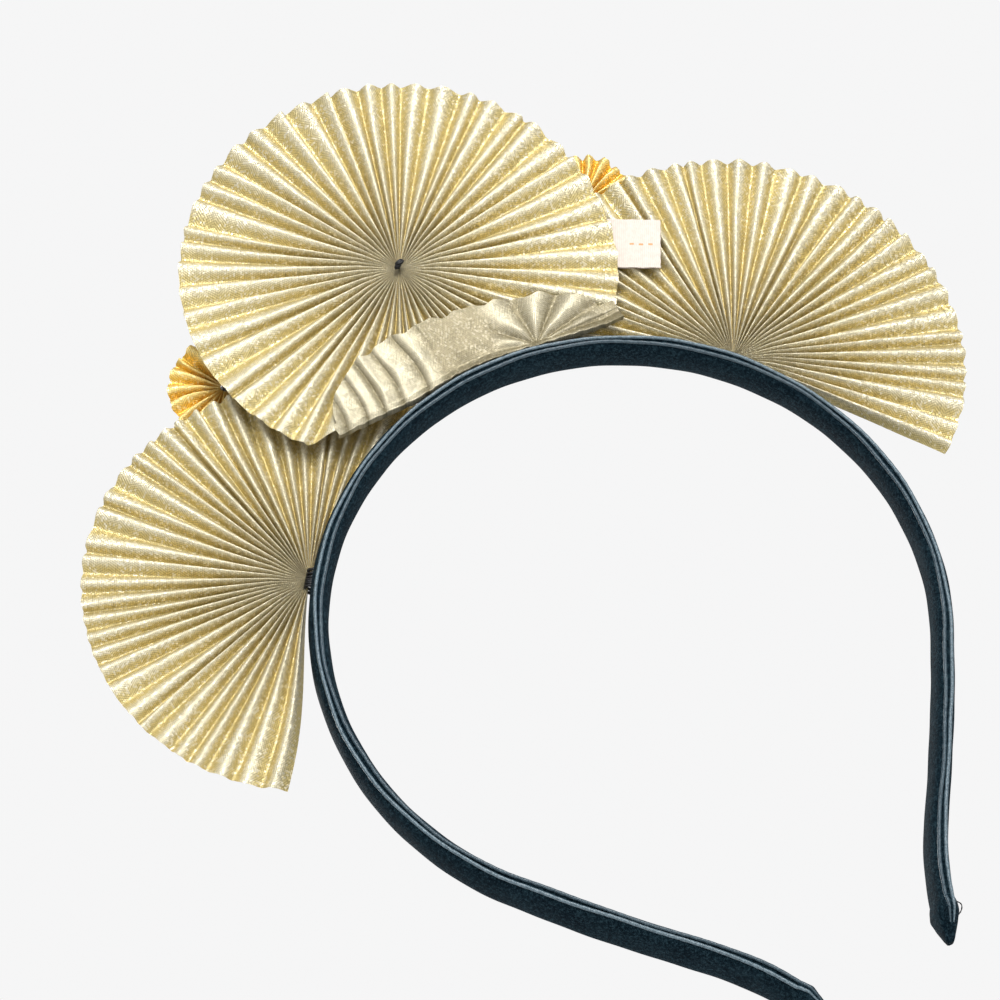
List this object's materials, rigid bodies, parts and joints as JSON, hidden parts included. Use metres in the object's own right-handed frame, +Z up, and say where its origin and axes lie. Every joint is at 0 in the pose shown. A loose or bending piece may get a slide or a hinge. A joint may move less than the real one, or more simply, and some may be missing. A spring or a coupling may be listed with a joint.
{
  "type": "fan headband",
  "caption": "Spring headband wrapped in dark velvet ribbon, with pleated metallic fans and rosettes sewn along its crown and a folded label at the back.",
  "frame": {"origin": "centre of the crown arc, where the head sits", "axes": "+Z up as worn, +X to the wearer's left, -Y to the front of the head and +Y to the back, where the ribbon's seam and the label are"},
  "size_m": [0.1892, 0.0116, 0.2215],
  "materials": {
    "spring_strip": "plain moulded strip, hidden in the ribbon",
    "velvet": "short-pile velvet ribbon, dark teal",
    "satin_selvedge": "smooth woven selvedge of the ribbon",
    "pale_gold_lame": "pleated metallic cloth, pale gold",
    "bright_gold_lame": "pleated metallic cloth, bright gold",
    "dark_thread": "black sewing thread",
    "cotton_tape": "ribbed cotton tape, blank"
  },
  "bodies": {
    "crown": {"crown_core": "spring_strip", "crown_velvet": "velvet", "crown_selvedges": "satin_selvedge", "centre_rosette": "pale_gold_lame", "centre_turned_hem": "pale_gold_lame", "centre_knot": "dark_thread", "crown_stitches": "dark_thread", "left_fan": "pale_gold_lame", "left_hub_thread": "dark_thread", "right_fan": "pale_gold_lame", "right_hub_thread": "dark_thread", "left_small_rosette": "bright_gold_lame", "left_small_knot": "dark_thread", "right_small_rosette": "bright_gold_lame", "right_small_knot": "dark_thread", "label_hem": "cotton_tape"},
    "left_leg": {"left_leg_core": "spring_strip", "left_leg_velvet": "velvet", "left_leg_selvedges": "satin_selvedge", "left_tip_fold": "velvet"},
    "right_leg": {"right_leg_core": "spring_strip", "right_leg_velvet": "velvet", "right_leg_selvedges": "satin_selvedge", "right_tip_fold": "velvet"},
    "label": {"label_tab": "cotton_tape"}
  },
  "joints": [
    {"name": "left_leg_flex", "type": "hinge", "parent": "crown", "child": "left_leg", "pos_m": [0.0602, 0, 0], "axis": [0, -1, 0], "range_deg": [-4, 16], "stiffness_Nm_per_rad": 1.5},
    {"name": "right_leg_flex", "type": "hinge", "parent": "crown", "child": "right_leg", "pos_m": [-0.0602, 0, 0], "axis": [0, 1, 0], "range_deg": [-4, 16], "stiffness_Nm_per_rad": 1.5},
    {"name": "label_flip", "type": "hinge", "parent": "crown", "child": "label", "pos_m": [-0.0456, -0.0002, 0.0723], "axis": [0.5548, 0, -0.832], "range_deg": [0, 65], "stiffness_Nm_per_rad": 0.002}
  ]
}
